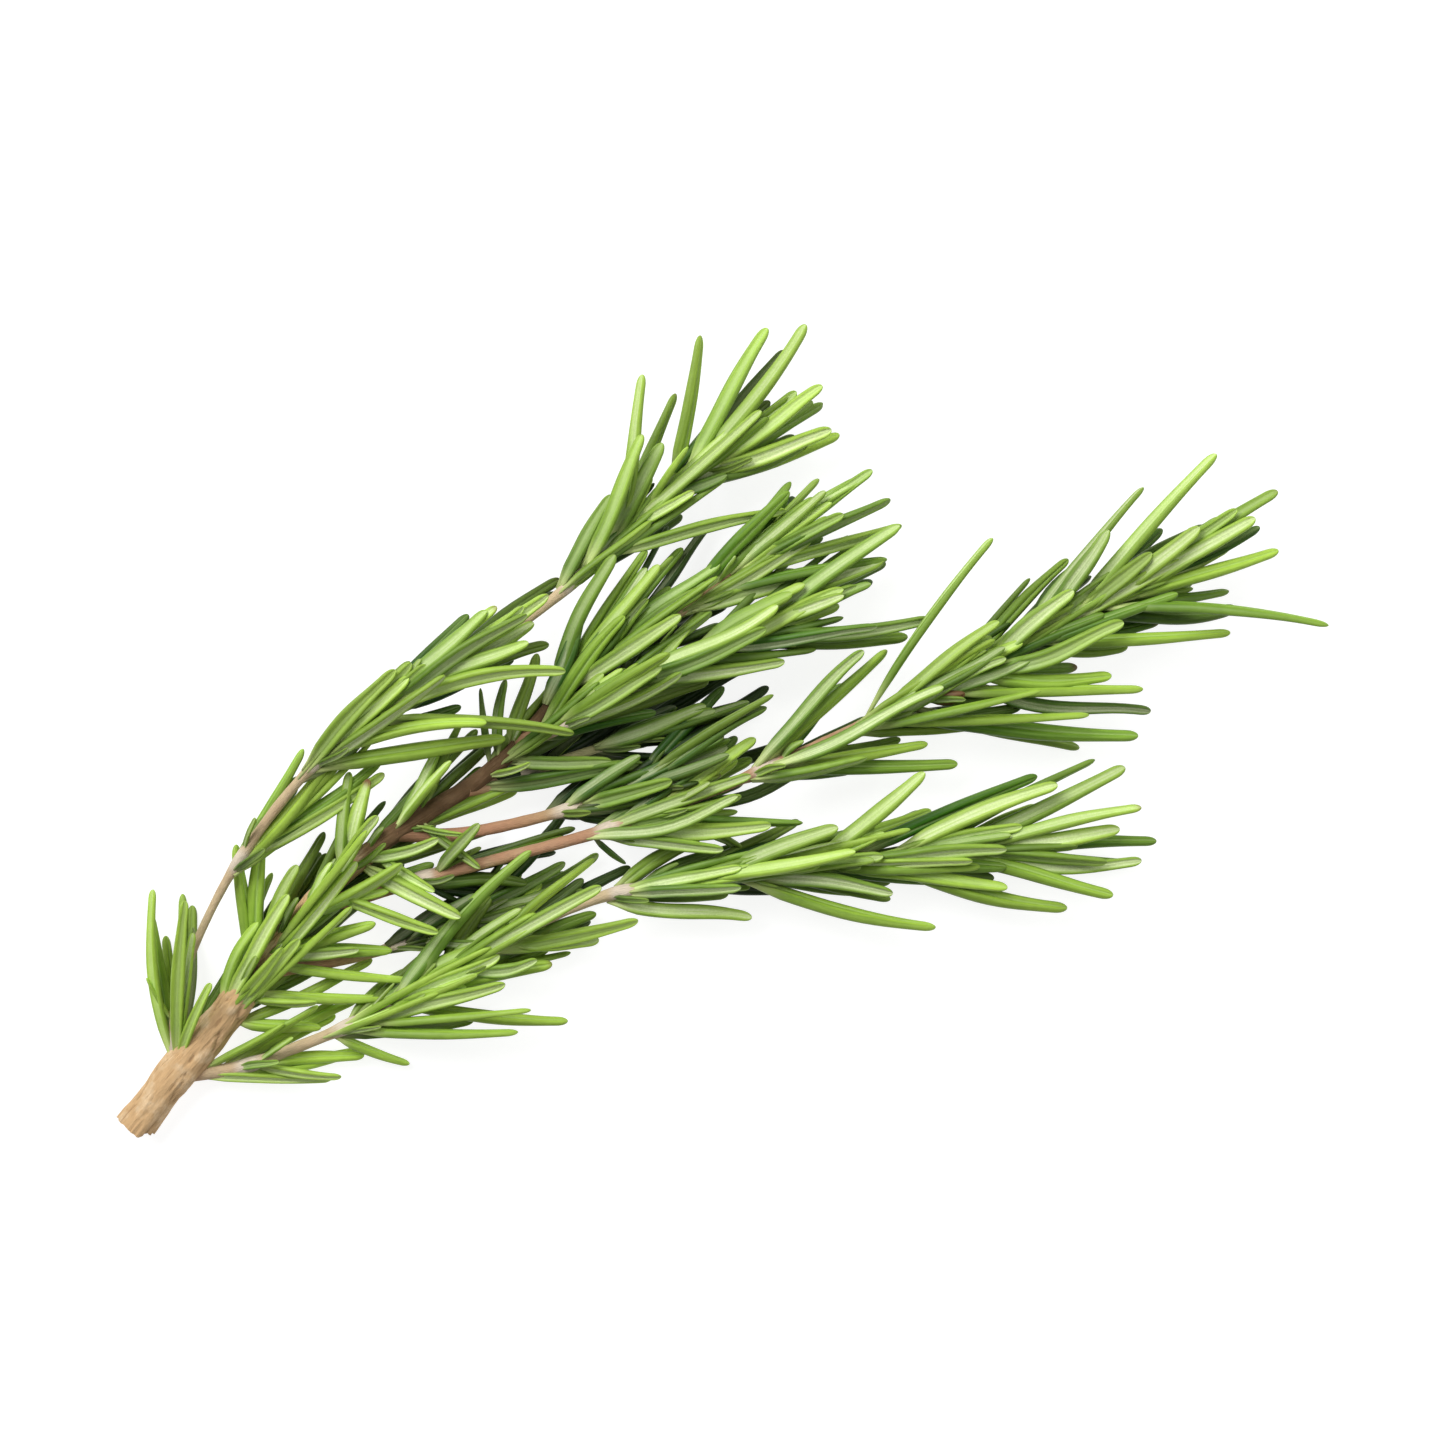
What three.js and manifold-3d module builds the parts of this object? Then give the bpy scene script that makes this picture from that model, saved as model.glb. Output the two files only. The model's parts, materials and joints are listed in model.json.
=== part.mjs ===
// A cut branch of rosemary, lying on a table, as a standalone three.js model in millimetres with +Z up.
//
// A woody leader carries seven side shoots. Every shoot is one bark-covered stem with clusters of needle
// leaves along it. A cluster is one solid: a sheath that sleeves the stem, and the leaves that grow out
// of it. +X runs along the branch from the cut end to the tips, +Y to its left, and the origin is the
// middle of the footprint, on the table.
import * as THREE from "three";
import { mergeVertices } from "three/addons/utils/BufferGeometryUtils.js";
import Module from "manifold-3d";

const wasm = await Module();
wasm.setup();

// Driving dimensions, in millimetres.
const BRANCH_LENGTH = 196; // from the cut end to the furthest leaf tip
const BRANCH_WIDTH = 105; // across the spread of the shoots
const STEM_THICKNESS = 1; // multiplies every stem radius in the routes below
const STEM_SIDES = 8;
const STEM_STEP = 8; // spacing of the stations along a stem
const LEAF_WIDTH = 1.9;
const LEAF_THICKNESS = 0.9;
const SHEATH_LENGTH = 7;
const SHEATH_WALL = 0.7;
const SHEATH_SIDES = 6;
const FIT_GAP = 0.3; // between a sheath and its stem, and between a side shoot and what it grows from
const LEAF_GAP = 0.12; // least room between leaves of different clusters

// The routes and leaf tips are drawn for a branch of this size, and stretched to the driving dimensions.
const DRAWN_LENGTH = 196;
const DRAWN_WIDTH = 105;

// Leaf shape: [share of the length, share of the width, share of the thickness] from the base to just
// short of the tip. A leaf is thinner at its base than the wall of the sheath that it grows from.
const LEAF_PROFILE = [
  [0, 0.4, 0.5],
  [0.4, 1, 1],
  [0.8, 0.9, 1],
];
const KEEL_SHARE = 0.75; // how much of the thickness lies under the leaf's flat face
const LEAF_ARCH = 1.2; // how far a leaf bulges upwards between its base and its tip
const FLOOR = 0.75; // lowest height of a leaf's middle line, so that its keel stays above the table

// Leaves that only the underside shows: how many a cluster has, and their lengths and lean.
const UNDER_LEAVES = 1;
const UNDER_LENGTH = [12, 18];
const UNDER_LEAN = [22, 38]; // degrees from the stem
const UNDER_SPREAD = 62; // degrees either side of straight down

// What is tried, in order, to free a leaf that would touch another cluster: its tip goes up or down, then
// sideways, and last the leaf gets shorter.
const RISE_TRIES = [0, 1, -1, 2, -2, 3, -3, 4, -4, 5, -5, 6.5, -6.5, 8, -8];
const SIDE_TRIES = [0, 1.5, -1.5, 3, -3];
const LENGTH_TRIES = [1, 0.85, 0.7, 0.55, 0.4];

const CURVE_STEPS = 400; // how finely a route's curve is measured
const SAME_POINT = 1e-5; // corners nearer than this are one corner
const SAME_PLACE = 1e-9; // places along a line nearer than this are one place

// Multiplier, increment and size of the generator behind the leaves that aren't drawn.
const GENERATOR = { multiplier: 1664525, increment: 1013904223, size: 2 ** 32 };

const BARK = new THREE.MeshStandardMaterial({ color: "#a9835c", roughness: 0.85, metalness: 0 });
const TWIG = new THREE.MeshStandardMaterial({ color: "#b5917c", roughness: 0.75, metalness: 0 });
const LEAF = new THREE.MeshStandardMaterial({ color: "#5f8f2e", roughness: 0.5, metalness: 0 });

// Each shoot: a route of [x, y, height, stem radius], and its clusters. A cluster is the x where its
// sheath sits and its leaves, from the lowest on the stem to the highest, each as the [x, y] of its tip,
// how far the tip rises over the stem, and, where it is plainly curved, how far it bows to the left.
const SHOOTS = [
  {
    name: "leader",
    bark: BARK,
    route: [
      [-1, -0.5, 3.7, 2.9], [5, 2.1, 4, 3], [11, 4, 4.6, 2.9], [18, 6.6, 5.6, 2.5], [25, 9.6, 7, 2.1],
      [31, 12.1, 8, 1.8], [38, 14.5, 9, 1.6], [46, 16.4, 9.5, 1.45], [55, 17.6, 9.5, 1.4],
      [64, 17.7, 9.2, 1.3], [70, 17.9, 9.2, 1.2], [76, 19.2, 9.5, 1.1], [82, 21.7, 10, 1],
      [88, 23.7, 10, 0.95], [97, 24.4, 10, 0.9], [107, 24.5, 10, 0.85], [115, 25.6, 10, 0.75],
      [123, 26, 10, 0.6],
    ],
    clusters: [
      [20, [[29, -2.5, -2], [29.5, 16, 2], [36, 17.3, 6], [31, 10.9, 4], [31, 1.2, 2], [40, -3.6, 0]]],
      [28, [
        [32.5, 27.8, 5], [35.3, 25.5, 2], [44.5, -3, -3], [39, 20.5, 3], [40.5, 4.9, 2], [44.8, 7.1, 3],
        [44.5, 2.3, -1],
      ]],
      [38.5, [[53, 12.8, 5], [44, 18.2, 2], [53.5, 20.8, 6], [49, 10.3, 3], [52.5, 1.2, -2]]],
      [47, [[53, 28.6, 4], [55, 26.2, 5], [56.5, 1.5, -1], [59.5, 13.3, 4], [55, 6.8, 1]]],
      [57, [[67, 22.4, 5], [66, 24.8, 2], [63, 12, 4], [62.5, 6.4, -2], [72, 27.5, 1]]],
      [73, [[77, 16.3, -1], [76, 29.8, 1], [80, 29, 2], [87.5, 10.4, -1], [86, 30, 0]]],
      [86, [[95, 32, 2], [103.5, 36.8, 3], [108, 35.2, 1], [108.5, 32.2, 4], [107.5, 24, 3]]],
      [95, [[112, 20.3, -3], [104.5, 28.8, 2], [108.3, 28.7, 0], [112.5, 25.8, 3]]],
      [112, [[128, 19.8, -1], [130.8, 32, 3, 1], [138.5, 16, 1, 1.5], [137, 21.3, -2]]],
      [121, [[141, 28.4, 1, 1.5], [143, 19.3, 0], [143.3, 23.5, 3], [136, 25, 5]]],
    ],
  },
  {
    name: "left_shoot",
    parent: "leader",
    bark: TWIG,
    route: [
      [5.5, 3.5, 4.6, 0.8], [8, 7.8, 5.2, 0.72], [13, 13, 7, 0.65], [19, 17.5, 9, 0.62],
      [25, 21.6, 11, 0.65], [31, 25.1, 12.5, 0.75], [40, 29, 14.5, 0.8], [49, 32.2, 16.5, 0.8],
      [60, 34.2, 17.5, 0.8], [72, 35, 17, 0.8], [83, 34.6, 15, 0.75], [92, 35.6, 13, 0.75],
      [100, 37.4, 11.5, 0.75], [108, 40, 10.5, 0.7], [117, 41.5, 9.8, 0.65], [124, 42.1, 9.5, 0.5],
    ],
    clusters: [
      [8, [[18.3, 28.2, 5, 1], [22.3, 24.2, 2], [19.5, 10.2, -1], [20.5, 19.5, 4], [29, 15.8, -1]]],
      [32, [[50, 27.2, -3], [56.8, 31.6, 3, 1], [50, 25.6, -6], [46, 31.8, -1]]],
      [50, [[67, 38, 2], [75.5, 21.3, -5, 2], [73, 33.6, 4], [69, 38.4, 0], [74.6, 24.6, 1, 3]]],
      [62, [[84, 15.6, -4, 3], [88.6, 25.3, 2, 4], [83, 38.8, 3, 0.5]]],
      [73, [[86, 31.7, 3], [92, 36.4, 2], [88, 34, -2]]],
      [96, [[107.5, 45, -1], [116, 50.2, 4, -1]]],
      [105, [[129, 30, -2], [118, 47.8, 2], [120.5, 58, 4, -1], [118.5, 39.2, 2]]],
      [114, [[121, 45.3, 4], [124, 39, 1], [131, 59, 2, -1]]],
      [121.5, [
        [140.3, 55, 1], [137, 37.3, -3, -2], [145.3, 52.3, 5, -2], [141, 37, 1], [142, 41.2, -1],
        [143, 43.3, 3],
      ]],
    ],
  },
  {
    name: "middle_shoot",
    parent: "leader",
    bark: TWIG,
    route: [
      [34, 13.2, 8.5, 1.1], [39, 12.6, 8.2, 1.05], [46, 11.3, 8.4, 1], [54, 9.4, 9, 0.95],
      [64, 6.6, 9.5, 0.9], [75, 3.6, 10, 0.9], [81, 2, 10.2, 0.95], [92, 0, 10.4, 0.85],
      [104, -1.8, 10.6, 0.9], [115, -2.9, 11.2, 0.85], [128, -4.1, 12, 0.8], [138, -5, 12, 0.75],
      [150, -5.4, 11.6, 0.7], [160, -5.9, 11, 0.65], [168, -6, 10.6, 0.5],
    ],
    clusters: [
      [54, [[62.6, 5, -1], [57, 3.6, -3], [66, 12.2, 2]]],
      [82, [[81.6, -4, -4], [95.5, -9.4, 2], [103.5, -9.8, -2], [97, -6, -4]]],
      [90, [[104, 1.1, -4], [107.8, -12, 0], [98, -11, -5]]],
      [107, [
        [121, -8.2, 2], [128.5, 5.9, 3, 1], [118, -9, -4], [131.7, 4.2, 0], [136, -4.7, 4],
        [132.5, -16, -4], [130, -11, -1],
      ]],
      [125, [
        [148.3, -12.4, 4], [153.5, 10.8, 3, 1.5], [153, -19.3, 0], [148, -0.4, 2], [158.3, -26, -3],
      ]],
      [133, [[150, -23.3, -6], [146, -1.8, 4], [162, -20, -1]]],
      [142, [[161.7, -23.7, -4], [159, -16, -2], [164, -9.8, 4], [160, -2, 2]]],
      [151, [[163.5, -13.5, -4], [177, 6.1, 1, 2], [177.5, -19.2, 0], [169, 3.2, 4]]],
      [160, [[188.7, 5, 3], [173, -3, 3], [180.5, -16.5, -3], [191.3, -22.7, 1, 3]]],
      [166.5, [[184.5, -7.8, -1], [190, -12.2, 0], [181, -3.2, 4], [194.2, -4.4, 1], [189, -6.2, 3]]],
    ],
  },
  {
    name: "right_shoot",
    parent: "leader",
    bark: TWIG,
    route: [
      [8, 3.2, 4, 1], [10.5, -0.6, 4, 0.95], [16, -1.9, 4.4, 0.85], [24, -3.1, 5.2, 0.8],
      [33, -4.4, 6.2, 0.85], [41, -5, 6.8, 0.9], [52, -4.9, 7.2, 0.9], [64, -5, 7.6, 0.85],
      [77, -6.5, 8.2, 0.85], [86, -10, 8.8, 0.8], [97, -14.5, 9, 0.8], [106, -18, 9, 0.75],
      [115, -22.3, 8.8, 0.7], [124, -26.4, 8.4, 0.65], [130, -29, 8.2, 0.5],
    ],
    clusters: [
      [17, [[26.5, -10, 0], [25, 0.9, 3], [28.3, -10.4, 2], [26, -1.3, -1]]],
      [33, [[37.7, -14, -4], [55, -17.8, 3], [58.5, -15.8, 0]]],
      [41.5, [[51.7, -8, 2], [62, -20.3, -2], [70.5, 4.8, 5, 2]]],
      [49.5, [[64.5, -11.5, 1], [77, -5, 4, 1], [63, -9.8, -3]]],
      [58, [[69.5, -7.2, -3], [79, -12.3, 1], [72.3, -12, -1]]],
      [79, [[94, -20.6, -2], [93, -6.4, -3], [95, -15.6, 4], [97.5, -10.3, -2]]],
      [90, [[107, -18.6, 4], [103, -12.5, -3], [112, -15, -1]]],
      [98, [[117.3, -35.7, -2, -1], [114.2, -27.8, 2], [115, -26.5, -3]]],
      [109, [
        [127.3, -14.4, 5, -1], [117.6, -19.3, 3], [129.6, -35.8, -2], [132.2, -30.5, 4],
        [142, -23.6, -3],
      ]],
      [118, [[136, -43.2, -2, -1], [143.7, -26, 3, 1], [131, -33, 1], [150.7, -25.8, -1]]],
      [127, [
        [142.8, -44.8, 2, 1], [149.2, -42.5, -1], [154, -29, 0, -1], [152.8, -41.2, -3],
        [152.8, -35.2, 4], [148.6, -36.6, 1],
      ]],
    ],
  },
  {
    name: "fork_shoot",
    parent: "leader",
    bark: TWIG,
    route: [
      [73, 18.4, 9.3, 0.95], [79, 18.6, 11.6, 0.9], [86, 19, 12.6, 0.85], [94, 19.4, 12.8, 0.8],
      [101, 19, 12.4, 0.75], [109, 18, 11.8, 0.7], [119, 16.2, 11, 0.5],
    ],
    clusters: [
      [84, [[103.3, 16.6, 4], [97, 13.5, -3], [96, 21.5, 1]]],
      [97, [[111.8, 13.2, -2], [117.5, 16, 4], [117.5, 10.4, -3], [108, 22, 2]]],
      [107, [[122.5, 9.6, 0], [123.5, 18.6, 3], [132, 8, 1]]],
      [116, [[135.5, 4.4, -2], [139.5, 5, 1], [138, 16.2, -1], [142.5, 19.4, 0], [130, 14.5, 4]]],
    ],
  },
  {
    name: "inner_shoot",
    parent: "leader",
    bark: TWIG,
    route: [
      [51, 17.2, 9.5, 0.95], [57, 14.4, 8.4, 0.9], [66, 10.9, 8, 0.85], [74, 8.4, 7.8, 0.8],
      [83, 6.4, 7.6, 0.7], [92, 5.8, 7.6, 0.5],
    ],
    clusters: [
      [78, [[97, 1.8, -2], [91.7, 9, 1], [94, 3.4, 2]]],
      [89.5, [[109, 7.4, -3], [103.7, 3.6, -1], [111.8, 5.8, 2]]],
    ],
  },
  {
    name: "under_shoot",
    parent: "leader",
    bark: TWIG,
    route: [
      [65, 17.7, 9.2, 0.9], [71, 15.9, 6.6, 0.85], [78, 14.8, 5.2, 0.8], [85, 13.6, 4.8, 0.7],
      [92, 12, 4.8, 0.5],
    ],
    clusters: [
      [76, [[91.5, 7.6, 1], [90, 11, -2], [86, 16.5, 1]]],
      [89, [[104, 10.6, 2], [100, 12.8, 3], [109, 7.2, -1]]],
    ],
  },
  {
    name: "low_shoot",
    parent: "leader",
    bark: TWIG,
    route: [
      [27.5, 10.6, 7.3, 0.9], [32, 6.6, 5.6, 0.85], [38, 4.4, 5.2, 0.8], [45, 2.4, 4.8, 0.75],
      [52, 1.2, 4.4, 0.7], [58, 0, 4.2, 0.5],
    ],
    clusters: [
      [46.5, [[56.4, 4.2, 1], [60, 3.2, -2], [57, -3.4, 1]]],
      [56, [[66, 2.6, 1], [78.4, 7.8, 5, -2], [68, -1.6, -1]]],
    ],
  },
];

// Numbers from 0 to 1 that follow from a word, so that every build is the same.
function randomFrom(word) {
  const { multiplier, increment, size } = GENERATOR;
  let state = [...word].reduce((sum, letter) => (sum * multiplier + letter.codePointAt(0)) % size, 1);
  return () => {
    state = (state * multiplier + increment) % size;
    return state / size;
  };
}

const between = ([low, high], share) => THREE.MathUtils.lerp(low, high, share);
const stretchX = (x) => (x * BRANCH_LENGTH) / DRAWN_LENGTH;
const stretchY = (y) => (y * BRANCH_WIDTH) / DRAWN_WIDTH;

// The value at x on a line through points with rising xs.
function interpolate(x, xs, values) {
  const next = Math.max(1, xs.findIndex((mark) => mark >= x - SAME_PLACE));
  return THREE.MathUtils.mapLinear(x, xs[next - 1], xs[next], values[next - 1], values[next]);
}

// A closed geometry with shared vertices as a manifold-3d solid, and back.
function toSolid(geometry) {
  for (const name of ["normal", "uv"]) geometry.deleteAttribute(name);
  const merged = mergeVertices(geometry, SAME_POINT);
  return new wasm.Manifold(
    new wasm.Mesh({
      numProp: 3,
      vertProperties: new Float32Array(merged.getAttribute("position").array),
      triVerts: new Uint32Array(merged.index.array),
    }),
  );
}

function toGeometry(solid) {
  const { numProp, numVert, vertProperties, triVerts } = solid.getMesh();
  const positions = new Float32Array(numVert * 3);
  for (let i = 0; i < numVert; i++)
    positions.set(vertProperties.subarray(i * numProp, i * numProp + 3), i * 3);
  return new THREE.BufferGeometry()
    .setAttribute("position", new THREE.BufferAttribute(positions, 3))
    .setIndex(new THREE.BufferAttribute(new Uint32Array(triVerts), 1));
}

const largestPiece = (solid) => solid.decompose().sort((a, b) => b.volume() - a.volume())[0];

// The faces between each ring and the next, for rings that all have the same count of points.
function skin(rings, sides) {
  const faces = [];
  for (let ring = 0; ring + 1 < rings; ring++)
    for (let side = 0; side < sides; side++) {
      const a = ring * sides + side;
      const b = ring * sides + ((side + 1) % sides);
      faces.push(a, b, b + sides, a, b + sides, a + sides);
    }
  return faces;
}

// A closed skin over rings of points. The first ring is capped flat, and the last one is capped flat too,
// or comes to a point.
function loft(rings, point) {
  const sides = rings[0].length;
  const positions = rings.flat().flatMap((p) => p.toArray());
  const faces = skin(rings.length, sides);
  const last = (rings.length - 1) * sides;
  for (let side = 1; side + 1 < sides; side++) faces.push(0, side + 1, side);
  if (point) {
    positions.push(...point.toArray());
    for (let side = 0; side < sides; side++)
      faces.push(last + side, last + ((side + 1) % sides), last + sides);
  } else {
    for (let side = 1; side + 1 < sides; side++) faces.push(last, last + side, last + side + 1);
  }
  return new THREE.BufferGeometry()
    .setAttribute("position", new THREE.Float32BufferAttribute(positions, 3))
    .setIndex(faces);
}

// A shoot's middle line, as straight spans between evenly spaced stations on a smooth curve. Everything
// on the shoot follows the same spans, so a sheath bends exactly where its stem does.
class Route {
  constructor(points) {
    const places = points.map(([x, y, z]) => new THREE.Vector3(stretchX(x), stretchY(y), z));
    const curve = new THREE.CatmullRomCurve3(places, false, "centripetal");
    const lengths = curve.getLengths(CURVE_STEPS);
    const marks = points.map((_, i) => lengths[Math.round((i * CURVE_STEPS) / (points.length - 1))]);
    const radii = points.map(([, , , radius]) => radius * STEM_THICKNESS);
    this.length = lengths.at(-1);
    const spans = Math.round(this.length / STEM_STEP);
    this.stations = Array.from({ length: spans + 1 }, (_, i) => ({
      distance: (this.length * i) / spans,
      centre: curve.getPointAt(i / spans),
      along: curve.getTangentAt(i / spans),
      radius: interpolate((this.length * i) / spans, marks, radii),
    }));
  }

  // The middle line's centre, direction and radius at a distance from its root.
  at(distance) {
    const last = this.stations.length - 1;
    const span = THREE.MathUtils.clamp(Math.floor((distance / this.length) * last), 0, last - 1);
    const [a, b] = this.stations.slice(span, span + 2);
    const share = (distance - a.distance) / (b.distance - a.distance);
    return {
      centre: a.centre.clone().lerp(b.centre, share),
      along: a.along.clone().lerp(b.along, share).normalize(),
      radius: THREE.MathUtils.lerp(a.radius, b.radius, share),
    };
  }

  // The distance along the route at which it reaches this x.
  distanceAtX(x) {
    const next = this.stations.findIndex(({ centre }) => centre.x >= x);
    const [a, b] = this.stations.slice(next - 1, next + 1);
    return interpolate(x, [a.centre.x, b.centre.x], [a.distance, b.distance]);
  }

  // A ring of points across the route, whose flats stand clear of the stem by a gap.
  ring(distance, gap, sides) {
    const { centre, along, radius } = this.at(distance);
    const side = new THREE.Vector3(0, 0, 1).cross(along).normalize();
    const up = along.clone().cross(side);
    const reach = (radius + gap) / Math.cos(Math.PI / sides);
    return Array.from({ length: sides }, (_, i) => {
      const angle = (2 * Math.PI * i) / sides;
      return centre
        .clone()
        .addScaledVector(side, reach * Math.cos(angle))
        .addScaledVector(up, reach * Math.sin(angle));
    });
  }

  // Two distances, and those of the stations between them.
  steps(from, to) {
    const inner = this.stations.map(({ distance }) => distance).filter((mark) => mark > from && mark < to);
    return [from, ...inner, to];
  }

  // A closed tube between two distances, whose flats stand clear of the stem by a gap.
  tube(from, to, gap, sides) {
    return toSolid(loft(this.steps(from, to).map((distance) => this.ring(distance, gap, sides))));
  }

  // An open-ended sleeve around the stem between two distances: along its outside, then back along its
  // bore.
  sleeve(from, to) {
    const steps = this.steps(from, to);
    const outside = steps.map((distance) => this.ring(distance, FIT_GAP + SHEATH_WALL, SHEATH_SIDES));
    const bore = steps.map((distance) => this.ring(distance, FIT_GAP, SHEATH_SIDES)).reverse();
    const rings = [...outside, ...bore, outside[0]];
    const positions = rings.flat().flatMap((p) => p.toArray());
    const geometry = new THREE.BufferGeometry();
    geometry.setAttribute("position", new THREE.Float32BufferAttribute(positions, 3));
    return toSolid(geometry.setIndex(skin(rings.length, SHEATH_SIDES)));
  }

  // The whole stem, fattened by a gap.
  stem(gap) {
    return this.tube(0, this.length, gap, STEM_SIDES);
  }
}

// A leaf as [full leaf, blade without its base], each a closed solid of three-cornered sections: two
// margins and a keel. Grow makes it fatter all round.
function leafSolids(base, control, tip, grow) {
  const curve = new THREE.QuadraticBezierCurve3(base, control, tip);
  const ringAt = ([share, width, thickness]) => {
    const centre = curve.getPoint(share);
    const along = curve.getTangent(share);
    const side = new THREE.Vector3(0, 0, 1).cross(along).normalize();
    const up = along.clone().cross(side);
    const half = (LEAF_WIDTH * width) / 2 + grow;
    const keel = LEAF_THICKNESS * thickness * KEEL_SHARE + grow;
    const face = LEAF_THICKNESS * thickness * (1 - KEEL_SHARE) + grow;
    return [
      centre.clone().addScaledVector(side, half).addScaledVector(up, face),
      centre.clone().addScaledVector(side, -half).addScaledVector(up, face),
      centre.clone().addScaledVector(up, -keel),
    ];
  };
  const rings = LEAF_PROFILE.map(ringAt);
  const point = tip.clone().addScaledVector(curve.getTangent(1), grow);
  return [toSolid(loft(rings, point)), toSolid(loft(rings.slice(1), point))];
}

const placed = []; // every solid so far, as {node, solid, box, blade}

const boxOf = (solid) => {
  const { min, max } = solid.boundingBox();
  return new THREE.Box3(new THREE.Vector3(...min), new THREE.Vector3(...max));
};

function place(node, solid, blade = solid) {
  placed.push({ node, solid, box: boxOf(solid), blade });
}

// Whether a fattened leaf keeps clear of everything on other nodes, and its blade of its own cluster's
// blades.
function isClear(node, whole, blade) {
  const box = boxOf(whole);
  return placed.every((other) => {
    if (!box.intersectsBox(other.box)) return true;
    const [mine, theirs] = other.node === node ? [blade, other.blade] : [whole, other.solid];
    return mine.intersect(theirs).isEmpty();
  });
}

// The points that shape a leaf from the stem at this distance to this tip.
function leafLine(route, distance, tip, bow) {
  const { centre, along, radius } = route.at(distance);
  const outward = tip.clone().sub(centre).projectOnPlane(along).normalize();
  const base = centre.addScaledVector(outward, radius + FIT_GAP + SHEATH_WALL / 2);
  const left = new THREE.Vector3(0, 0, 1).cross(tip.clone().sub(base)).setZ(0).normalize();
  const control = base.clone().lerp(tip, 0.5).addScaledVector(left, bow);
  control.z += LEAF_ARCH;
  base.z = Math.max(base.z, FLOOR);
  control.z = Math.max(control.z, FLOOR);
  return [base, control, tip];
}

// Finds a clear place for a leaf, as close as it can be to where it is drawn, and returns its solid.
function growLeaf(node, route, distance, drawnTip, bow) {
  const root = route.at(distance).centre;
  for (const share of LENGTH_TRIES)
    for (const side of SIDE_TRIES)
      for (const rise of RISE_TRIES) {
        const reach = drawnTip.clone().sub(root).multiplyScalar(share);
        const left = new THREE.Vector3(-reach.y, reach.x, 0).normalize();
        const tip = root.clone().add(reach).addScaledVector(left, side * share);
        tip.z = Math.max(tip.z + rise * share, FLOOR);
        const line = leafLine(route, distance, tip, bow * share);
        if (!isClear(node, ...leafSolids(...line, LEAF_GAP))) continue;
        const [leaf, blade] = leafSolids(...line, 0);
        place(node, leaf, blade);
        return leaf;
      }
  return null;
}

// A tip for a leaf on the underside.
function underTip(route, distance, random) {
  const { centre, along } = route.at(distance);
  const turn = THREE.MathUtils.degToRad((2 * random() - 1) * UNDER_SPREAD);
  const lean = THREE.MathUtils.degToRad(between(UNDER_LEAN, random()));
  const outward = new THREE.Vector3(0, 0, -1).applyAxisAngle(along, turn).projectOnPlane(along).normalize();
  const reach = between(UNDER_LENGTH, random());
  return centre
    .addScaledVector(along, reach * Math.cos(lean))
    .addScaledVector(outward, reach * Math.sin(lean));
}

const group = new THREE.Group();
const routes = new Map(SHOOTS.map((shoot) => [shoot.name, new Route(shoot.route)]));

function addNode(name, solid, material) {
  const mesh = new THREE.Mesh(toGeometry(solid), material);
  mesh.name = name;
  group.add(mesh);
}

// Where every cluster's sheath starts and ends. A sheath stops short of the next one, and of the stem's
// tip.
const clusters = SHOOTS.flatMap(({ name, parent, clusters: drawn }) => {
  const route = routes.get(name);
  let free = 0;
  return drawn.map(([x, leaves], index) => {
    const middle = route.distanceAtX(stretchX(x));
    const end = Math.min(middle + SHEATH_LENGTH / 2, route.length);
    const start = Math.max(end - SHEATH_LENGTH, free);
    free = end + FIT_GAP;
    return { node: `${name}_leaves_${index + 1}`, shoot: name, parent, route, start, end, leaves };
  });
});

// What is left of a solid on a side shoot once it stands clear of the stem and the sheaths it grows from.
function cutClear(solid, parent) {
  if (!parent) return solid;
  let cut = solid.subtract(routes.get(parent).stem(FIT_GAP));
  for (const { route, start, end } of clusters.filter(({ shoot }) => shoot === parent))
    cut = cut.subtract(route.tube(start - FIT_GAP, end + FIT_GAP, 2 * FIT_GAP + SHEATH_WALL, SHEATH_SIDES));
  return largestPiece(cut);
}

for (const { name, parent, bark } of SHOOTS) {
  const stem = cutClear(routes.get(name).stem(0), parent);
  place(name + "_stem", stem);
  addNode(name + "_stem", stem, bark);
}

// The sheaths of every cluster come before any leaf, so that leaves grow clear of them.
for (const cluster of clusters) {
  const { node, parent, route, start, end } = cluster;
  cluster.sheath = cutClear(route.sleeve(start, end), parent);
  place(node, cluster.sheath);
}

// The drawn leaves of every cluster come first, and the ones underneath fill what room they leave.
for (const cluster of clusters) {
  const { node, route, start, end, leaves } = cluster;
  const inset = LEAF_WIDTH / 2;
  cluster.baseOf = (share) => between([start + inset, Math.min(end, route.length) - inset], share);
  cluster.grown = leaves.map(([x, y, rise, bow = 0], i) => {
    const distance = cluster.baseOf(leaves.length > 1 ? i / (leaves.length - 1) : 0.5);
    const tip = new THREE.Vector3(stretchX(x), stretchY(y), route.at(distance).centre.z + rise);
    return growLeaf(node, route, distance, tip, bow);
  });
}
for (const cluster of clusters) {
  const { node, route } = cluster;
  const random = randomFrom(node);
  for (let i = 0; i < UNDER_LEAVES; i++) {
    const distance = cluster.baseOf((i + 0.5) / UNDER_LEAVES);
    cluster.grown.push(growLeaf(node, route, distance, underTip(route, distance, random), 0));
  }
}
for (const { node, sheath, grown } of clusters) {
  const whole = grown.filter(Boolean).reduce((sum, leaf) => sum.add(leaf), sheath);
  addNode(node, largestPiece(whole), LEAF);
}

// Stands the branch on the table, with the origin in the middle of its footprint.
const extent = new THREE.Box3().setFromObject(group);
const footprint = extent.getCenter(new THREE.Vector3());
group.position.set(-footprint.x, -footprint.y, -extent.min.z);

export default group;
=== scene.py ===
"""A cut sprig of rosemary lying on a pale table, laid out as an add-on and run as a script.

Every stem and every whorl of leaves is rebuilt in detail on the plain solid that holds its place in the
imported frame: the stems' middle lines and the leaves' curves are read back from those solids.
"""

import json
import math
import random
from collections import defaultdict

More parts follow.
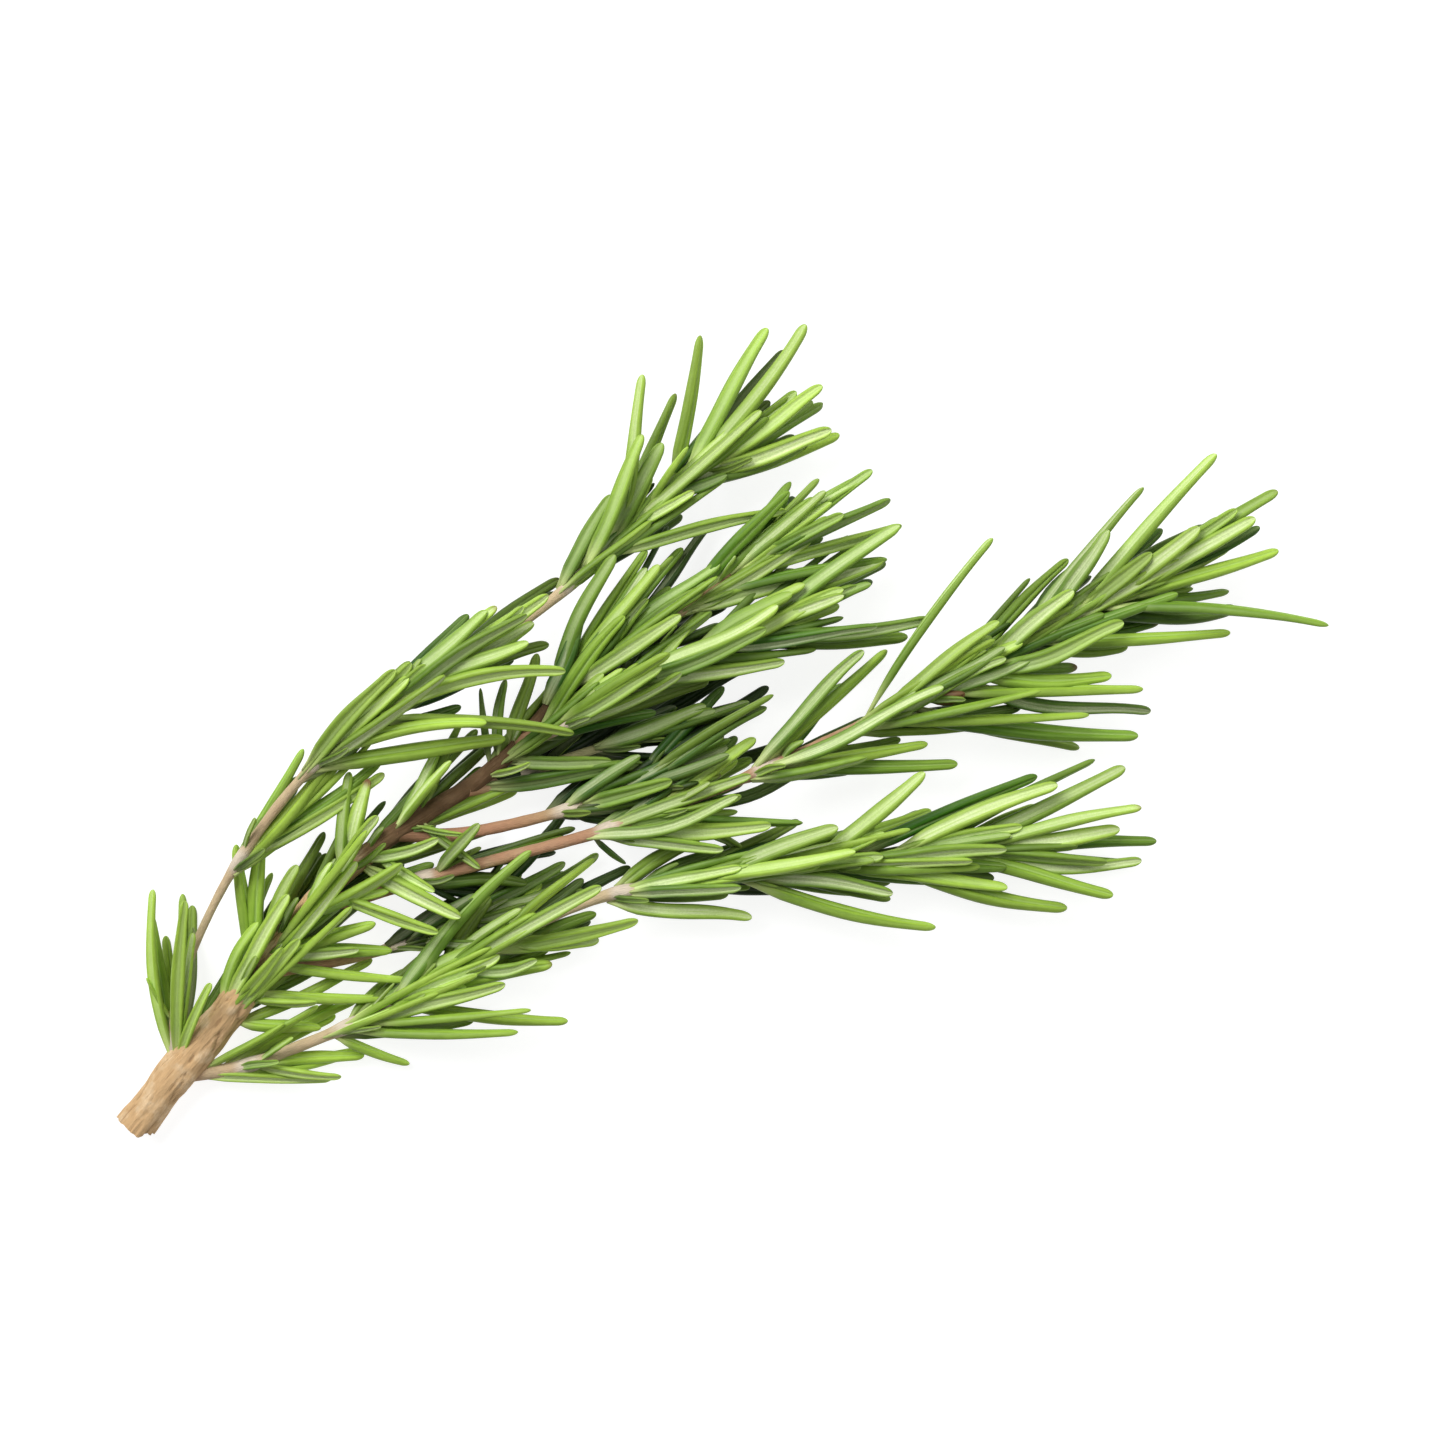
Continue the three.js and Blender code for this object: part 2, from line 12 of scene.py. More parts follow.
import bpy
import numpy as np
from bpy.props import FloatProperty, FloatVectorProperty, IntProperty, PointerProperty
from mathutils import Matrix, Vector, noise

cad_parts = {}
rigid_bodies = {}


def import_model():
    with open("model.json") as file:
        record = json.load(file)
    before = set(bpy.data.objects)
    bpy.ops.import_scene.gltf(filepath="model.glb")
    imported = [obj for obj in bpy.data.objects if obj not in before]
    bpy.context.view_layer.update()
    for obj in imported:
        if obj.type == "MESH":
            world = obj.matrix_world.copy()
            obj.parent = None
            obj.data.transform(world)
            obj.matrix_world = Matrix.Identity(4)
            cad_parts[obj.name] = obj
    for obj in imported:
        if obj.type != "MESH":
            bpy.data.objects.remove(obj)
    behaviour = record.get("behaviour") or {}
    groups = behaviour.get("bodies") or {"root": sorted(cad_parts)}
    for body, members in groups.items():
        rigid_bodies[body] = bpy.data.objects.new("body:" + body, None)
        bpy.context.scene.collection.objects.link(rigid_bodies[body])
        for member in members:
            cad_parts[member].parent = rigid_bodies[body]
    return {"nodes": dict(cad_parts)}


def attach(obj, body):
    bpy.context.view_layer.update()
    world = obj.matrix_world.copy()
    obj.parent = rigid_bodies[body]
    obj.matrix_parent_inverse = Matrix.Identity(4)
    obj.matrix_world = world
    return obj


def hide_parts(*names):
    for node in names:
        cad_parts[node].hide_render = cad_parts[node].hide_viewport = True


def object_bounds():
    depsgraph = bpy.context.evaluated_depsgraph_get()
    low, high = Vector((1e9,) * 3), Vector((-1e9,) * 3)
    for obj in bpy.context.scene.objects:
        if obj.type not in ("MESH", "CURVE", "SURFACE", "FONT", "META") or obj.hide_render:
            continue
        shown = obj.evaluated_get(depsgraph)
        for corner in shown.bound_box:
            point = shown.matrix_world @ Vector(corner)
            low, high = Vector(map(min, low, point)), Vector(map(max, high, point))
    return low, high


bl_info = {
    "name": "Rosemary sprig",
    "version": (1, 0, 0),
    "blender": (4, 5, 0),
    "location": "3D View > Sidebar > Rosemary",
    "description": "Builds a cut rosemary sprig from its frame of plain solids",
    "category": "Add Mesh",
}

for leftover in list(bpy.data.objects):
    bpy.data.objects.remove(leftover)
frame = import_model()
CAD_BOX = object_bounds()
MM = 0.001
UP = np.array((0.0, 0.0, 1.0))
LEADER = "leader"
STEM_NODES = sorted(name for name in frame["nodes"] if name.endswith("_stem"))
WHORL_NODES = sorted(name for name in frame["nodes"] if "_leaves_" in name)

REST = 0.9 * MM  # least height of a loose leaf's middle line
CEILING = CAD_BOX[1][2] - 1.5 * MM  # greatest height of a loose leaf's middle line

# Shares of a leaf's length at which the frame's plain leaves have their last two rings.
INNER_RING = 0.4
OUTER_RING = 0.8
TIP_GAP = 1.2 * MM  # a tip is at least this far from the ring before it
FULL_GROWN = 15 * MM  # a shorter leaf is narrower too

# One half of a leaf's section, from the groove on its upper face, round the rolled margin, to the midrib
# underneath: across and up in half widths, and how much the point belongs to the green upper skin.
HALF_SECTION = [
    (0.0, 0.22, 1.0),
    (0.10, 0.30, 1.0),
    (0.34, 0.40, 1.0),
    (0.64, 0.36, 1.0),
    (0.88, 0.20, 1.0),
    (1.0, -0.04, 1.0),
    (0.95, -0.26, 1.0),
    (0.76, -0.40, 1.0),
    (0.54, -0.37, 0.75),
    (0.38, -0.24, 0.0),
    (0.16, -0.19, 0.0),
    (0.0, -0.27, 0.0),
]
OTHER_HALF = [(-across, up, green) for across, up, green in HALF_SECTION[-2:0:-1]]
LEAF_SECTION = np.array(HALF_SECTION + OTHER_HALF)


def unit(vector):
    """The vector at length one."""
    return vector / np.linalg.norm(vector)


def square_to(vector, axis):
    """What is left of a vector at right angles to an axis, at length one."""
    return unit(vector - axis * np.dot(vector, axis))


def turned(vector, axis, angle):
    """A vector turned about an axis by an angle in radians."""
    sideways = np.cross(axis, vector)
    return vector * math.cos(angle) + sideways * math.sin(angle)


def smoothstep(low, high, value):
    """0 below low, 1 above high, with an eased rise between."""
    share = np.clip((value - low) / (high - low), 0.0, 1.0)
    return share * share * (3.0 - 2.0 * share)


# --------------------------------------------------------------------------------------- properties


def colour(name, description, value):
    """A colour property with its default."""
    return FloatVectorProperty(
        name=name, description=description, default=value, subtype="COLOR", min=0, max=1
    )


class SprigSizes(bpy.types.PropertyGroup):
    """The sizes that the frame doesn't fix."""

    leaf_width: FloatProperty(
        name="Leaf width", description="Width of a full-grown leaf", default=2.55 * MM, unit="LENGTH"
    )
    near_count: IntProperty(
        name="Near leaves", description="Leaves that each whorl lays over its shoot", default=3, min=0
    )
    far_count: IntProperty(
        name="Far leaves", description="Leaves that each whorl has behind its shoot", default=5, min=0
    )
    tuft_count: IntProperty(
        name="Tuft count", description="Young leaves in the axils of each whorl", default=3, min=0
    )
    tuft_leaf_length: FloatProperty(
        name="Tuft leaf length", description="Longest of the young leaves", default=9 * MM, unit="LENGTH"
    )
    bud_count: IntProperty(
        name="Bud count", description="Young leaves around the tip of each shoot", default=5, min=0
    )
    bark_relief: FloatProperty(
        name="Bark relief", description="Depth of the bark's furrows", default=0.34 * MM, unit="LENGTH"
    )


class SprigColours(bpy.types.PropertyGroup):
    """The colours of the leaves, the shoots and the wood."""

    # Besides each leaf's random tone, painted shade draws leaves deep in the sprig towards the cool colour,
    # and painted light draws those on top towards the warm one.
    leaf_cool: colour("Leaf, cool", "Old, deep green leaf", (0.028, 0.108, 0.004))
    leaf_warm: colour("Leaf, warm", "Young, yellowish leaf", (0.265, 0.405, 0.045))
    leaf_line: colour("Leaf line", "Groove and rim of the upper face", (0.37, 0.50, 0.18))
    leaf_down: colour("Leaf underside", "Felted band under a leaf", (0.60, 0.66, 0.40))
    leaf_base: colour("Leaf base", "Pale foot of a leaf", (0.52, 0.57, 0.24))
    leaf_dry: colour("Dry leaf", "Dried tip or scale", (0.16, 0.085, 0.035))
    shoot_fresh: colour("Shoot", "Downy bark of a fresh shoot", (0.54, 0.42, 0.25))
    shoot_red: colour("Shoot, reddish", "Bark of a shoot that has seen the sun", (0.42, 0.22, 0.125))
    shoot_brown: colour("Shoot, old", "Bark of an older shoot", (0.115, 0.062, 0.028))
    node_pale: colour("Node", "Whitish down at a node", (0.66, 0.57, 0.46))
    bark_tan: colour("Bark", "Sound bark of the old wood", (0.53, 0.345, 0.175))
    bark_pale: colour("Bark flakes", "Weathered flakes", (0.64, 0.47, 0.285))
    bark_dark: colour("Bark furrows", "Bottom of the furrows", (0.24, 0.135, 0.06))
    cut_wood: colour("Cut wood", "Wood at the cut end", (0.56, 0.37, 0.20))
    table: colour("Table", "Plain pale surface", (0.26, 0.26, 0.26))


# ---------------------------------------------------------------------------------- shader building


class Socket:
    """A node socket whose arithmetic adds Math nodes."""

    def __init__(self, shader, socket):
        self.shader = shader
        self.socket = socket

    def maths(self, operation, *values):
        return self.shader.add("ShaderNodeMath", {"operation": operation}, dict(enumerate(values)))

    def __add__(self, other):
        return self.maths("ADD", self, other)

    __radd__ = __add__

    def __sub__(self, other):
        return self.maths("SUBTRACT", self, other)

    def __rsub__(self, other):
        return self.maths("SUBTRACT", other, self)

    def __mul__(self, other):
        return self.maths("MULTIPLY", self, other)

    __rmul__ = __mul__

    def ease(self, low, high):
        """0 below low, 1 above high; reversed where low is the larger."""
        bottom, top = sorted((low, high))
        inputs = {"Value": self, "From Min": bottom, "From Max": top}
        rise = self.shader.add("ShaderNodeMapRange", {"interpolation_type": "SMOOTHSTEP"}, inputs)
        return rise if low < high else 1 - rise


class Shader:
    """A material's node tree under construction."""

    def __init__(self, name):
        self.material = bpy.data.materials.new(name)
        self.material.use_nodes = True
        self.tree = self.material.node_tree
        self.surface = self.tree.nodes["Principled BSDF"]

    def add(self, kind, settings=None, inputs=None, output=0):
        """Adds a node with its settings, fills its sockets with values or links, and returns an output."""
        node = self.tree.nodes.new(kind)
        for key, value in (settings or {}).items():
            setattr(node, key, value)
        for key, value in (inputs or {}).items():
            self.feed(node.inputs[key], value)
        return Socket(self, node.outputs[output])

    def feed(self, socket, value):
        """Links a socket, or sets its value."""
        if isinstance(value, Socket):
            self.tree.links.new(value.socket, socket)
        else:
            socket.default_value = value

    def mix(self, share, first, second):
        """One colour blended into another."""
        settings = {"data_type": "RGBA"}
        return self.add("ShaderNodeMix", settings, {0: share, 6: opaque(first), 7: opaque(second)}, 2)

    def tint(self, shade, amount):
        """A colour scaled by a number."""
        scale = {"operation": "SCALE"}
        return self.add("ShaderNodeVectorMath", scale, {0: shade, "Scale": amount})

    def attribute(self, name):
        """The three channels of a colour attribute."""
        stored = self.add("ShaderNodeAttribute", {"attribute_name": name})
        split = self.add("ShaderNodeSeparateColor", {}, {0: stored})
        outputs = split.socket.node.outputs
        return [Socket(self, outputs[i]) for i in range(3)]

    def vector(self, x, y, z):
        """A vector put together from three numbers."""
        return self.add("ShaderNodeCombineXYZ", {}, {0: x, 1: y, 2: z})

    def noise(self, place, scale, detail=3.0, roughness=0.55):
        """Smooth noise from 0 to 1 at a place."""
        inputs = {"Vector": place, "Scale": scale, "Detail": detail, "Roughness": roughness}
        return self.add("ShaderNodeTexNoise", {}, inputs)

    def position(self):
        """The place on the object, in metres."""
        return self.add("ShaderNodeTexCoord", {}, {}, 3)

    def finish(self, base, roughness, height, depth, **constants):
        """Sets the surface's colour, roughness and relief, and returns the material."""
        self.feed(self.surface.inputs["Base Color"], base)
        self.feed(self.surface.inputs["Roughness"], roughness)
        bump = self.add("ShaderNodeBump", {}, {"Height": height, "Distance": depth, "Strength": 1.0})
        self.feed(self.surface.inputs["Normal"], bump)
        for key, value in constants.items():
            self.surface.inputs[key.replace("_", " ")].default_value = value
        return self.material


def opaque(shade):
    """A colour with its alpha; sockets pass through."""
    return shade if isinstance(shade, Socket) else (*shade, 1.0)


def leaf_material(colours):
    """Waxy green above with a paler groove, felted and pale in a soft band underneath, dry at a few tips,
    with painted shade towards the edges and deep in the sprig.
    """
    shader = Shader("rosemary leaf")
    across, skin, along = shader.attribute("leaf_place")
    warmth, value, age = shader.attribute("leaf_tone")
    place = shader.position()
    mottle = shader.noise(place, 700.0)
    streak = shader.noise(shader.vector(across * 6, along * 4, value * 37 + warmth * 11), 1.0, 2.0)
    ripe = warmth + (along - 0.5) * 0.42 + (streak - 0.5) * 0.45
    green = shader.mix(ripe, colours.leaf_cool, colours.leaf_warm)
    # Painted shade: the green darkens towards the leaf's edges, which rounds the look of its upper face.
    painted_edge_shade = across.ease(0.42, 0.92)
    green = shader.tint(green, 0.70 + mottle * 0.26 + streak * 0.30 + along * 0.16 - painted_edge_shade * 0.26)
    groove = across.ease(0.26, 0.02) * 0.38
    rim = across.ease(0.80, 1.0) * 0.07
    upper = shader.mix(groove + rim, green, colours.leaf_line)
    felt = shader.noise(place, 3800.0, 2.0)
    felted = shader.tint(colours.leaf_down, 0.72 + felt * 0.5)
    band = shader.mix(0.14 + streak.ease(0.3, 0.75) * 0.42, felted, green)
    rib = across.ease(0.12, 0.03) * 0.30
    under = shader.mix(rib, band, green)
    base = shader.mix(skin, under, upper)
    base = shader.mix(along.ease(0.26, 0.0) * 0.65, base, colours.leaf_base)
    base = shader.mix((along + age).ease(0.99, 1.10), base, colours.leaf_dry)
    # Painted light and shade: each leaf's value brightens it on top of the sprig and darkens it deep inside,
    # on top of its own random tone.
    base = shader.tint(base, value)
    roughness = 0.66 - skin * 0.24 + mottle * 0.10
    pebbles = shader.noise(place, 2600.0, 2.0)
    height = pebbles * (1.2 - skin * 0.8) + streak * 0.5
    return shader.finish(base, roughness, height, 0.08 * MM, Specular_IOR_Level=0.28)


def shoot_material(colours):
    """Thin downy bark: beige to reddish, brown where it is older, and whitish at the nodes."""
    shader = Shader("shoot bark")
    node, brown, green = shader.attribute("stem_tone")
    cosine, sine, along = shader.attribute("stem_place")
    place = shader.position()
    fibre = shader.noise(shader.vector(cosine * 7, sine * 7, along * 9), 1.0, 4.0, 0.6)
    blotch = shader.noise(place, 240.0, 3.0)
    bark = shader.mix((brown + (blotch - 0.5) * 0.5).ease(0.0, 0.5), colours.shoot_fresh, colours.shoot_red)
    bark = shader.mix((brown + (blotch - 0.5) * 0.3).ease(0.5, 1.0), bark, colours.shoot_brown)
    bark = shader.mix(green, bark, colours.leaf_base)
    bark = shader.mix((node + (blotch - 0.5) * 0.7).ease(0.15, 0.85) * 0.85, bark, colours.node_pale)
    base = shader.tint(bark, 0.62 + fibre * 0.72)
    down = shader.noise(place, 4200.0, 2.0)
    return shader.finish(base, 0.78, fibre * 1.2 + down * 0.5, 0.12 * MM, Specular_IOR_Level=0.3)


def bark_material(colours):
    """Old bark: tan, split by dark lengthwise furrows, with pale weathered flakes."""
    shader = Shader("old bark")
    relief, brown, _ = shader.attribute("stem_tone")
    cosine, sine, along = shader.attribute("stem_place")
    place = shader.position()
    fibre = shader.noise(shader.vector(cosine * 7, sine * 7, along * 5), 1.0, 4.0, 0.55)
    flake = shader.noise(place, 300.0, 4.0, 0.55)
    sound = shader.mix(flake.ease(0.48, 0.68), colours.bark_tan, colours.bark_pale)
    furrow = (relief + (fibre - 0.5) * 0.7).ease(0.40, 0.05)
    bark = shader.mix(furrow * 0.5, sound, colours.bark_dark)
    bark = shader.mix(brown * 0.92, bark, shader.tint(colours.shoot_brown, 0.05 + flake * 1.6))
    base = shader.tint(bark, 0.78 + fibre * 0.46)
    return shader.finish(base, 0.86, fibre * 1.0 + flake * 0.9, 0.2 * MM, Specular_IOR_Level=0.25)


def cut_material(colours):
    """Fresh wood across the grain, with rings and rays."""
    shader = Shader("cut wood")
    reach, angle, _ = shader.attribute("stem_tone")
    place = shader.position()
    rings = shader.noise(shader.vector(reach * 9, 0.0, 0.0), 1.0, 1.0)
    rays = shader.noise(shader.vector(angle * 30, reach, 0.0), 1.0, 2.0)
    rough = shader.noise(place, 1500.0, 3.0)
    base = shader.tint(colours.cut_wood, 0.6 + rings * 0.3 + rays * 0.25 + rough * 0.3)
    base = shader.mix(reach.ease(0.86, 0.97) * 0.7, base, colours.bark_dark)
    return shader.finish(base, 0.85, rays + rough, 0.2 * MM, Specular_IOR_Level=0.25)


# ----------------------------------------------------------------------- reading the frame's solids


def solid(name):
    """A node's corners without repeats, its triangles, and each corner's neighbours."""
    mesh = frame["nodes"][name].data
    corners = np.array([vertex.co for vertex in mesh.vertices])
    _, first, same = np.unique(corners.round(7), axis=0, return_index=True, return_inverse=True)
    triangles = same.reshape(-1)[np.array([face.vertices for face in mesh.polygons])]
    neighbours = defaultdict(set)
    for a, b, c in triangles:
        neighbours[a] |= {b, c}
        neighbours[b] |= {a, c}
        neighbours[c] |= {a, b}
    return corners[first], triangles, neighbours


def cross_section(corners, triangles, x):
    """The centre and area of a solid's section at one x."""
    area = 0.0
    moment = np.zeros(2)
    for face in corners[triangles]:
        above = face[:, 0] > x
        if above.all() or not above.any():
            continue
        cuts = []
        for start, end in ((0, 1), (1, 2), (2, 0)):
            if above[start] != above[end]:
                share = (x - face[start, 0]) / (face[end, 0] - face[start, 0])
                cuts.append((above[start], face[start, 1:] + (face[end, 1:] - face[start, 1:]) * share))
        cuts.sort(key=lambda cut: cut[0])
        (_, first), (_, second) = cuts
        doubled = first[0] * second[1] - first[1] * second[0]
        area += doubled / 2
        moment += (first + second) * doubled
    return moment / (6 * area), abs(area)


class Stem:
    """A stem's middle line: evenly spaced points with directions and radii, from its root to its tip."""

    SLICE = 2.0 * MM  # spacing of the sections that are read
    END_SKIP = 2.6 * MM  # length at each end that isn't read; twice that where a shoot joins the leader
    STEP = 0.5 * MM  # spacing of the points that are kept
    SMOOTHING = 60  # how many times each point is averaged with its neighbours
    OCTAGON = 8 * math.tan(math.pi / 8)  # area of an eight-sided section over its inner radius squared

    def __init__(self, name, parent=None):
        corners, triangles, _ = solid(name)
        low, high = corners[:, 0].min(), corners[:, 0].max()
        skip = self.END_SKIP * (2 if parent else 1)
        xs = np.arange(low + skip, high - self.END_SKIP, self.SLICE)
        found = [cross_section(corners, triangles, x) for x in xs]
        centres = np.array([(x, *middle) for x, (middle, _) in zip(xs, found)])
        slopes = np.gradient(centres, axis=0)
        slopes /= np.linalg.norm(slopes, axis=1)[:, None]
        radii = np.sqrt(np.array([area for _, area in found]) * slopes[:, 0] / self.OCTAGON)
        tip = centres[-1] + slopes[-1] * (high - centres[-1, 0]) / slopes[-1, 0]
        if parent:
            # A shoot runs back to its parent's middle line, to just before where its own direction meets it.
            reach = np.linalg.norm(parent.points - centres[0], axis=1)
            back = np.linalg.norm(parent.points - (centres[0] - slopes[0] * reach.min()), axis=1)
            root = parent.points[max(back.argmin() - 2, 0)]
        else:
            root = centres[0] - slopes[0] * (centres[0, 0] - low) / slopes[0, 0]
        self.resample(np.vstack([root, centres, tip]), np.array([radii[0], *radii, radii[-1] * 0.7]))

    def resample(self, points, radii):
        """Evens out the spacing and smooths the corners."""
        lengths = np.concatenate([[0], np.cumsum(np.linalg.norm(np.diff(points, axis=0), axis=1))])
        self.distances = np.arange(0, lengths[-1], self.STEP)
        line = np.stack([np.interp(self.distances, lengths, points[:, i]) for i in range(3)], axis=1)
        thick = np.interp(self.distances, lengths, radii)
        for _ in range(self.SMOOTHING):
            line[1:-1] = (line[:-2] + 2 * line[1:-1] + line[2:]) / 4
            thick[1:-1] = (thick[:-2] + 2 * thick[1:-1] + thick[2:]) / 4
        self.points = line
        self.radii = thick
        slopes = np.gradient(line, axis=0)
        self.directions = slopes / np.linalg.norm(slopes, axis=1)[:, None]

    def nearest(self, place):
        """The index of the point nearest to a place."""
        return int(np.linalg.norm(self.points - place, axis=1).argmin())


class Leaf:
    """A leaf's curve from its base to its tip, as a quadratic with one control point."""

    def __init__(self, base, control, tip):
        self.base = base
        self.control = control
        self.tip = tip
        self.length = np.linalg.norm(tip - base)

    def at(self, share):
        return (1 - share) ** 2 * self.base + 2 * share * (1 - share) * self.control + share**2 * self.tip

    def direction(self, share):
        return unit((1 - share) * (self.control - self.base) + share * (self.tip - self.control))


def curve_weights(share):
    """How much a quadratic's base, control point and tip count at a share of its length."""
    return (1 - share) ** 2, 2 * share * (1 - share), share**2


def read_leaves(name):
    """The leaves of a whorl: each comes to a point that only its last three-cornered ring touches."""
    corners, _, neighbours = solid(name)
    leaves = []
    for point, ring in neighbours.items():
        tip = corners[point]
        gaps = [np.linalg.norm(corners[other] - tip) for other in ring]
        if len(ring) != 3 or min(gaps) < TIP_GAP:
            continue
        outer = corners[list(ring)].mean(axis=0)
        before = set().union(*(neighbours[other] for other in ring)) - ring - {point}
        if len(before) == 3:
            inner = corners[list(before)].mean(axis=0)
            # Both rings lie on the leaf's quadratic, which gives its base and control point.
            weights = np.array([curve_weights(INNER_RING), curve_weights(OUTER_RING)])
            rings_less_tip = np.array([inner, outer]) - np.outer(weights[:, 2], tip)
            base, control = np.linalg.solve(weights[:, :2], rings_less_tip)
        else:
            base = tip + (outer - tip) / (1 - OUTER_RING)
            control = (base + tip) / 2
        leaves.append(Leaf(base, control, tip))
    leaves.sort(key=lambda leaf: tuple(leaf.tip))
    return leaves


# ------------------------------------------------------------------------------------ mesh building


class Skin:
    """Gathers rings of points into one mesh, with its colour attributes."""

    def __init__(self):
        self.corners = []
        self.faces = []
        self.finishes = []
        self.layers = defaultdict(list)
        self.count = 0

    def add(self, rings, closed_by=None, finish=0, **layers):
        """Adds a tube over rings of equal size; closed_by is a centre point for each end, or None."""
        stations, sides = rings.shape[:2]
        start = self.count
        rings = np.maximum(rings, (-np.inf, -np.inf, 0.0))  # nothing sinks into the table
        self.corners.append(rings.reshape(-1, 3))
        for key, values in layers.items():
            self.layers[key].append(values.reshape(-1, 3))
        index = start + np.arange(stations * sides).reshape(stations, sides)
        across = np.roll(index, -1, axis=1)
        quads = np.stack([index[:-1], across[:-1], across[1:], index[1:]], axis=-1).reshape(-1, 4)
        self.faces.extend(quads.tolist())
        self.finishes.extend([finish] * len(quads))
        self.count += stations * sides
        for centre, ring, row, order in zip(closed_by or (), (index[0], index[-1]), (0, -1), (-1, 1)):
            self.corners.append(np.array([centre]))
            for key, values in layers.items():
                self.layers[key].append(values[row].mean(axis=0)[None])
            fan = [(self.count, a, b)[::order] for a, b in zip(ring.tolist(), np.roll(ring, -1).tolist())]
            self.faces.extend(fan)
            self.finishes.extend([finish] * len(fan))
            self.count += 1

    def build(self, name, materials):
        """Makes the object."""
        mesh = bpy.data.meshes.new(name)
        mesh.from_pydata(np.concatenate(self.corners).tolist(), [], self.faces)
        for key, values in self.layers.items():
            rows = np.concatenate(values)
            layer = mesh.color_attributes.new(key, "FLOAT_COLOR", "POINT")
            channels = np.column_stack([rows, np.ones(len(rows))])
            layer.data.foreach_set("color", channels.ravel().astype(np.float32))
        for material in materials:
            mesh.materials.append(material)
        mesh.polygons.foreach_set("material_index", self.finishes)
        mesh.polygons.foreach_set("use_smooth", [True] * len(self.faces))
        mesh.update()
        piece = bpy.data.objects.new(name, mesh)
        bpy.context.scene.collection.objects.link(piece)
        return piece


def stand_for(piece, node):
    """Hangs a piece on the root body and hides the node that it replaces."""
    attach(piece, "root")
    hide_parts(node)


def leaf_outline(share, blunt):
    """A leaf's width at a share of its length: a narrow foot, a long body and a narrower, round tip."""
    foot = 0.46 + 0.54 * smoothstep(0.0, 0.24, share)
    taper = 1.0 - 0.30 * smoothstep(0.5, 1.0, share)
    end = np.clip((share - blunt) / (1.0 - blunt), 0.0, 1.0)
    return foot * taper * np.sqrt(np.maximum(1.0 - end**2.2, 0.0))


LEAF_BODY = 0.9  # the share of a leaf before its round tip
# Stations around the tip, as shares of what is left of the leaf, closer together towards its end.
LEAF_TIP = np.array([0.8, 0.55, 0.34, 0.18, 0.07, 0.015])


def add_leaf(skin, leaf, face, width, tone, dice, stations=22):
    """Adds one leaf whose upper face looks along a direction at its base; some are felted thinly below."""
    round_tip = 1 - 0.75 * width / leaf.length
    body = np.linspace(0, LEAF_BODY, stations - len(LEAF_TIP)) ** 0.9
    end = 1 - (1 - LEAF_BODY) * LEAF_TIP
    shares = np.concatenate([body, end])
    widths = leaf_outline(shares, round_tip) * width / 2
    twist = math.radians(dice.gauss(0, 16))
    sway = dice.gauss(0, 0.03) * leaf.length
    wave = dice.uniform(0, 2 * math.pi)
    ripple = dice.uniform(0.02, 0.06)
    bare = dice.uniform(0.1, 0.85)
    rings = np.empty((len(shares), len(LEAF_SECTION), 3))
    places = np.empty_like(rings)
    for i, (share, reach) in enumerate(zip(shares, widths)):
        along = leaf.direction(share)
        top = turned(square_to(face, along), along, twist * share)
        side = np.cross(top, along)
        centre = leaf.at(share) + side * sway * math.sin(math.pi * share) * math.sin(2.2 * share + wave)
        swell = 1 + ripple * math.sin(9 * share + wave)
        thick = 1.36 * (0.8 + 0.2 * reach / (width / 2))
        outline = side * LEAF_SECTION[:, :1] * reach * swell
        rings[i] = centre + outline + top * LEAF_SECTION[:, 1:2] * reach * thick
        green = bare + (1 - bare) * LEAF_SECTION[:, 2]
        places[i] = np.column_stack([abs(LEAF_SECTION[:, 0]), green, np.full(len(LEAF_SECTION), share)])
    tones = np.tile(np.array(tone), (len(shares), len(LEAF_SECTION), 1))
    skin.add(rings, (leaf.at(shares[0]), leaf.at(1.0)), leaf_place=places, leaf_tone=tones)


def upper_face(leaf, stem, dice):
    """Where a leaf's upper face looks: towards its stem, and rather up or down than level."""
    at = stem.nearest(leaf.base)
    along = leaf.direction(0.5)
    outward = leaf.base - stem.points[at]
    if np.linalg.norm(np.cross(outward, along)) < 1e-6:
        outward = UP * MM
    inward = square_to(-unit(outward), along)
    rise = 1.0 if dice.random() < 0.6 + 0.9 * inward[2] else -1.0
    face = square_to(inward * 0.8 + UP * rise * 0.75, along)
    return turned(face, along, math.radians(dice.gauss(0, 20)))


class Tones:
    """Draws a leaf's colour: warmth and brightness, both with painted light and shade, and how dry its tip
    is.
    """

    OLIVE = (20 * MM, 80 * MM)  # from the cut end, the stretch where leaves turn from olive to green

    def __init__(self, dice, painted_light):
        self.dice = dice
        self.painted_light = painted_light

    def grown(self, light, distance):
        """A full-grown leaf: painted shade makes it cooler and darker deep in the sprig, painted light warmer
        and brighter on top, and it is olive near the cut end.

        The light is 1 on top of the sprig and -1 deep in it; the distance is from the cut end.
        """
        light = light + self.painted_light
        olive = 1 - smoothstep(*self.OLIVE, distance)
        warmth = min(max(self.dice.gauss(0.40 + 0.24 * light + 0.34 * olive, 0.24), 0.0), 1.0)
        value = min(max(self.dice.gauss(0.86 + 0.46 * light + 0.16 * olive, 0.14), 0.2), 1.38)
        return warmth, value, 0.12 * self.dice.random() ** 28

    def young(self):
        """A young leaf: yellower, never dry, and lighter or darker with its whorl's painted light or shade.
        """
        return self.dice.uniform(0.4, 0.85), self.dice.uniform(0.8, 1.15) + 0.35 * self.painted_light, 0.0


